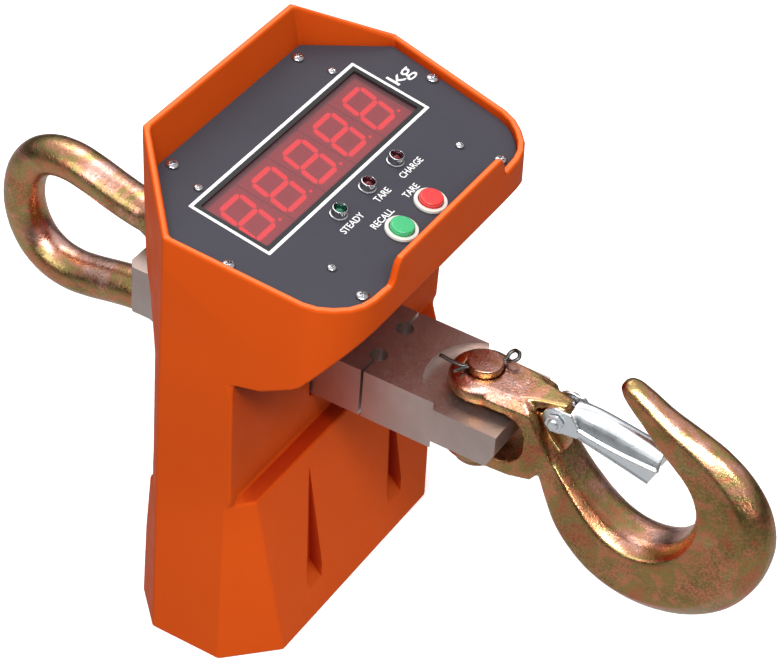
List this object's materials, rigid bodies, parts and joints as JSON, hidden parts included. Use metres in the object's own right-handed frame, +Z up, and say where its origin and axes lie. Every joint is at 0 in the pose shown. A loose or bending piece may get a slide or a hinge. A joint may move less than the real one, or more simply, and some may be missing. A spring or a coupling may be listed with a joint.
{
  "type": "crane scale",
  "caption": "Hanging scale: a waisted housing with a tilted digital readout, a steel load bar through its waist, a bow shackle at one end and a clevis hook with safety latch at the other.",
  "frame": {"origin": "centre of the flat base face of the housing", "axes": "+X along the load line towards the hook, +Y across the readout in reading direction, +Z up from the base face to the display side"},
  "size_m": [0.5211, 0.2348, 0.3308],
  "materials": {
    "orange_coat": "satin powder coat",
    "cover_coat": "dark grey coat",
    "panel_film": "matte slate membrane",
    "gasket_rubber": "soft black rubber",
    "window_red": "clear red filter",
    "board_green": "green circuit board",
    "led_red": "red lit bars in a dark block",
    "chrome_bezel": "bright plated",
    "lens_green": "clear green",
    "lens_red": "clear dark red",
    "ring_cream": "cream ring",
    "button_green": "green cap",
    "button_red": "red cap",
    "stainless": "bright pan heads",
    "bar_steel": "bead-blasted alloy steel",
    "plate_steel": "plain zinc plate",
    "bolt_steel": "black-grey fastener",
    "yellow_zinc": "forged, iridescent yellow zinc",
    "bright_zinc": "bright pressed sheet",
    "cotter_steel": "dark wire",
    "cable_jacket": "black jacket",
    "battery_wrap": "grey-blue wrap"
  },
  "bodies": {
    "scale_body": {"housing_shell": "orange_coat", "rear_cover": "cover_coat", "cover_screw_1": "stainless", "cover_screw_2": "stainless", "cover_screw_3": "stainless", "cover_screw_4": "stainless", "front_panel": "panel_film", "panel_gasket": "gasket_rubber", "panel_screw_1": "stainless", "panel_screw_2": "stainless", "panel_screw_3": "stainless", "panel_screw_4": "stainless", "panel_screw_5": "stainless", "panel_screw_6": "stainless", "board_screw_1": "stainless", "board_screw_2": "stainless", "board_screw_3": "stainless", "board_screw_4": "stainless", "display_window": "window_red", "display_board": "board_green", "main_board": "board_green", "led_digit_1": "led_red", "led_digit_2": "led_red", "led_digit_3": "led_red", "led_digit_4": "led_red", "led_digit_5": "led_red", "led_bezel_steady": "chrome_bezel", "led_bezel_tare": "chrome_bezel", "led_bezel_charge": "chrome_bezel", "led_lens_steady": "lens_green", "led_lens_tare": "lens_red", "led_lens_charge": "lens_red", "button_ring_recall": "ring_cream", "button_ring_tare": "ring_cream", "battery_pack": "battery_wrap", "battery_strap": "plate_steel", "cross_plate": "plate_steel", "load_cell": "bar_steel", "bar_bolt_1": "bolt_steel", "bar_bolt_2": "bolt_steel", "cross_plate_screw_1": "bolt_steel", "cross_plate_screw_2": "bolt_steel", "load_cell_cable": "cable_jacket"},
    "recall_button": {"button_cap_recall": "button_green"},
    "tare_button": {"button_cap_tare": "button_red"},
    "shackle": {"shackle_bow": "yellow_zinc", "shackle_pin": "yellow_zinc", "shackle_washer": "plate_steel", "shackle_cotter": "cotter_steel"},
    "hook": {"hook_forging": "yellow_zinc", "clevis_pin": "yellow_zinc", "clevis_cotter": "cotter_steel", "latch_bolt": "bright_zinc", "latch_nut": "bright_zinc", "latch_spring": "bright_zinc"},
    "latch": {"safety_latch": "bright_zinc"}
  },
  "joints": [
    {"name": "shackle_swing", "type": "hinge", "parent": "scale_body", "child": "shackle", "pos_m": [-0.07353, 0, 0.17264], "axis": [0, 0, 1], "range_deg": [-55, 60]},
    {"name": "hook_swing", "type": "hinge", "parent": "scale_body", "child": "hook", "pos_m": [0.11991, 0, 0.17264], "axis": [0, 0, 1], "range_deg": [-17, 17]},
    {"name": "latch_hinge", "type": "hinge", "parent": "hook", "child": "latch", "pos_m": [0.17087, 0, 0.19344], "axis": [0, 1, 0], "range_deg": [0, 36], "stiffness_Nm_per_rad": 0.05, "springref_deg": -68.75, "deforming": ["latch_spring"]},
    {"name": "recall_press", "type": "slide", "parent": "scale_body", "child": "recall_button", "axis": [-0.1676, 0, -0.9859], "range_m": [0, 0.003], "stiffness_N_per_m": 400, "springref_m": -0.001},
    {"name": "tare_press", "type": "slide", "parent": "scale_body", "child": "tare_button", "axis": [-0.1676, 0, -0.9859], "range_m": [0, 0.003], "stiffness_N_per_m": 400, "springref_m": -0.001}
  ]
}
